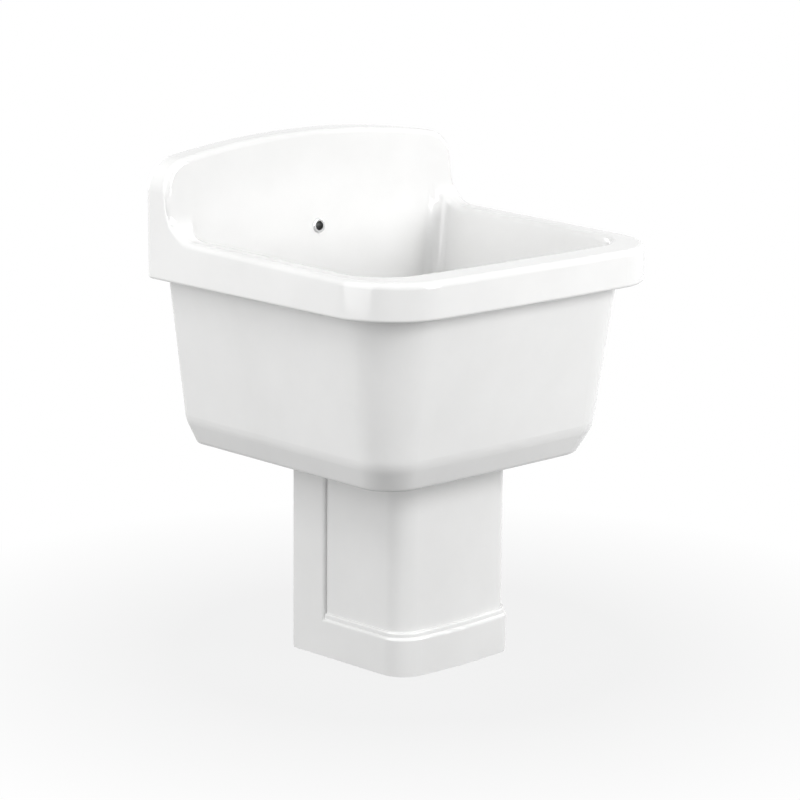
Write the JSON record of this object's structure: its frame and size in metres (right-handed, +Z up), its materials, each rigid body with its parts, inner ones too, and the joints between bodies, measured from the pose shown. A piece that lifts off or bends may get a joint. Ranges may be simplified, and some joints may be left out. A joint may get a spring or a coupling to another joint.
{
  "type": "mop sink",
  "caption": "Glazed ceramic mop sink with an arched splashback, rounded bowl, lift-out strainer, press plug and bottle trap on a panelled pedestal.",
  "frame": {"origin": "floor level under the centre of the overall box", "axes": "+Z up, -Y towards the user, +Y towards the wall, +X to the right seen from the front"},
  "size_m": [0.5, 0.454, 0.6612],
  "materials": {
    "glaze": "gloss white glaze",
    "pedestal_glaze": "gloss white glaze",
    "chrome": "polished chrome plate",
    "seal_rubber": "pale grey rubber",
    "black_rubber": "matt black rubber",
    "white_plastic": "moulded white plastic",
    "brass": "turned brass",
    "steel": "stainless steel"
  },
  "bodies": {
    "sink": {"basin": "glaze", "pedestal": "pedestal_glaze", "overflow_ring": "chrome", "waste_body": "chrome", "bedding_seal": "seal_rubber", "flange_gasket": "black_rubber", "tapered_washer": "black_rubber", "inlet_washer": "black_rubber", "trap_cup_seal": "black_rubber", "outlet_washer": "black_rubber", "slip_washer": "white_plastic", "back_nut": "brass", "inlet_nut": "white_plastic", "trap_body": "white_plastic", "trap_cup": "white_plastic", "outlet_nut": "white_plastic", "outlet_pipe": "white_plastic", "floor_rose": "chrome"},
    "strainer": {"strainer_basket": "steel", "click_barrel": "brass", "click_spring": "steel"},
    "plug": {"plug_cap": "chrome", "plug_seal": "black_rubber", "plug_stem": "brass"}
  },
  "joints": [
    {"name": "strainer_lift", "type": "slide", "parent": "sink", "child": "strainer", "axis": [0, 0, 1], "range_m": [0, 0.33]},
    {"name": "plug_press", "type": "slide", "parent": "strainer", "child": "plug", "axis": [0, 0, 1], "range_m": [-0.009, 0], "stiffness_N_per_m": 350, "springref_m": 0.006, "deforming": ["click_spring"]}
  ]
}
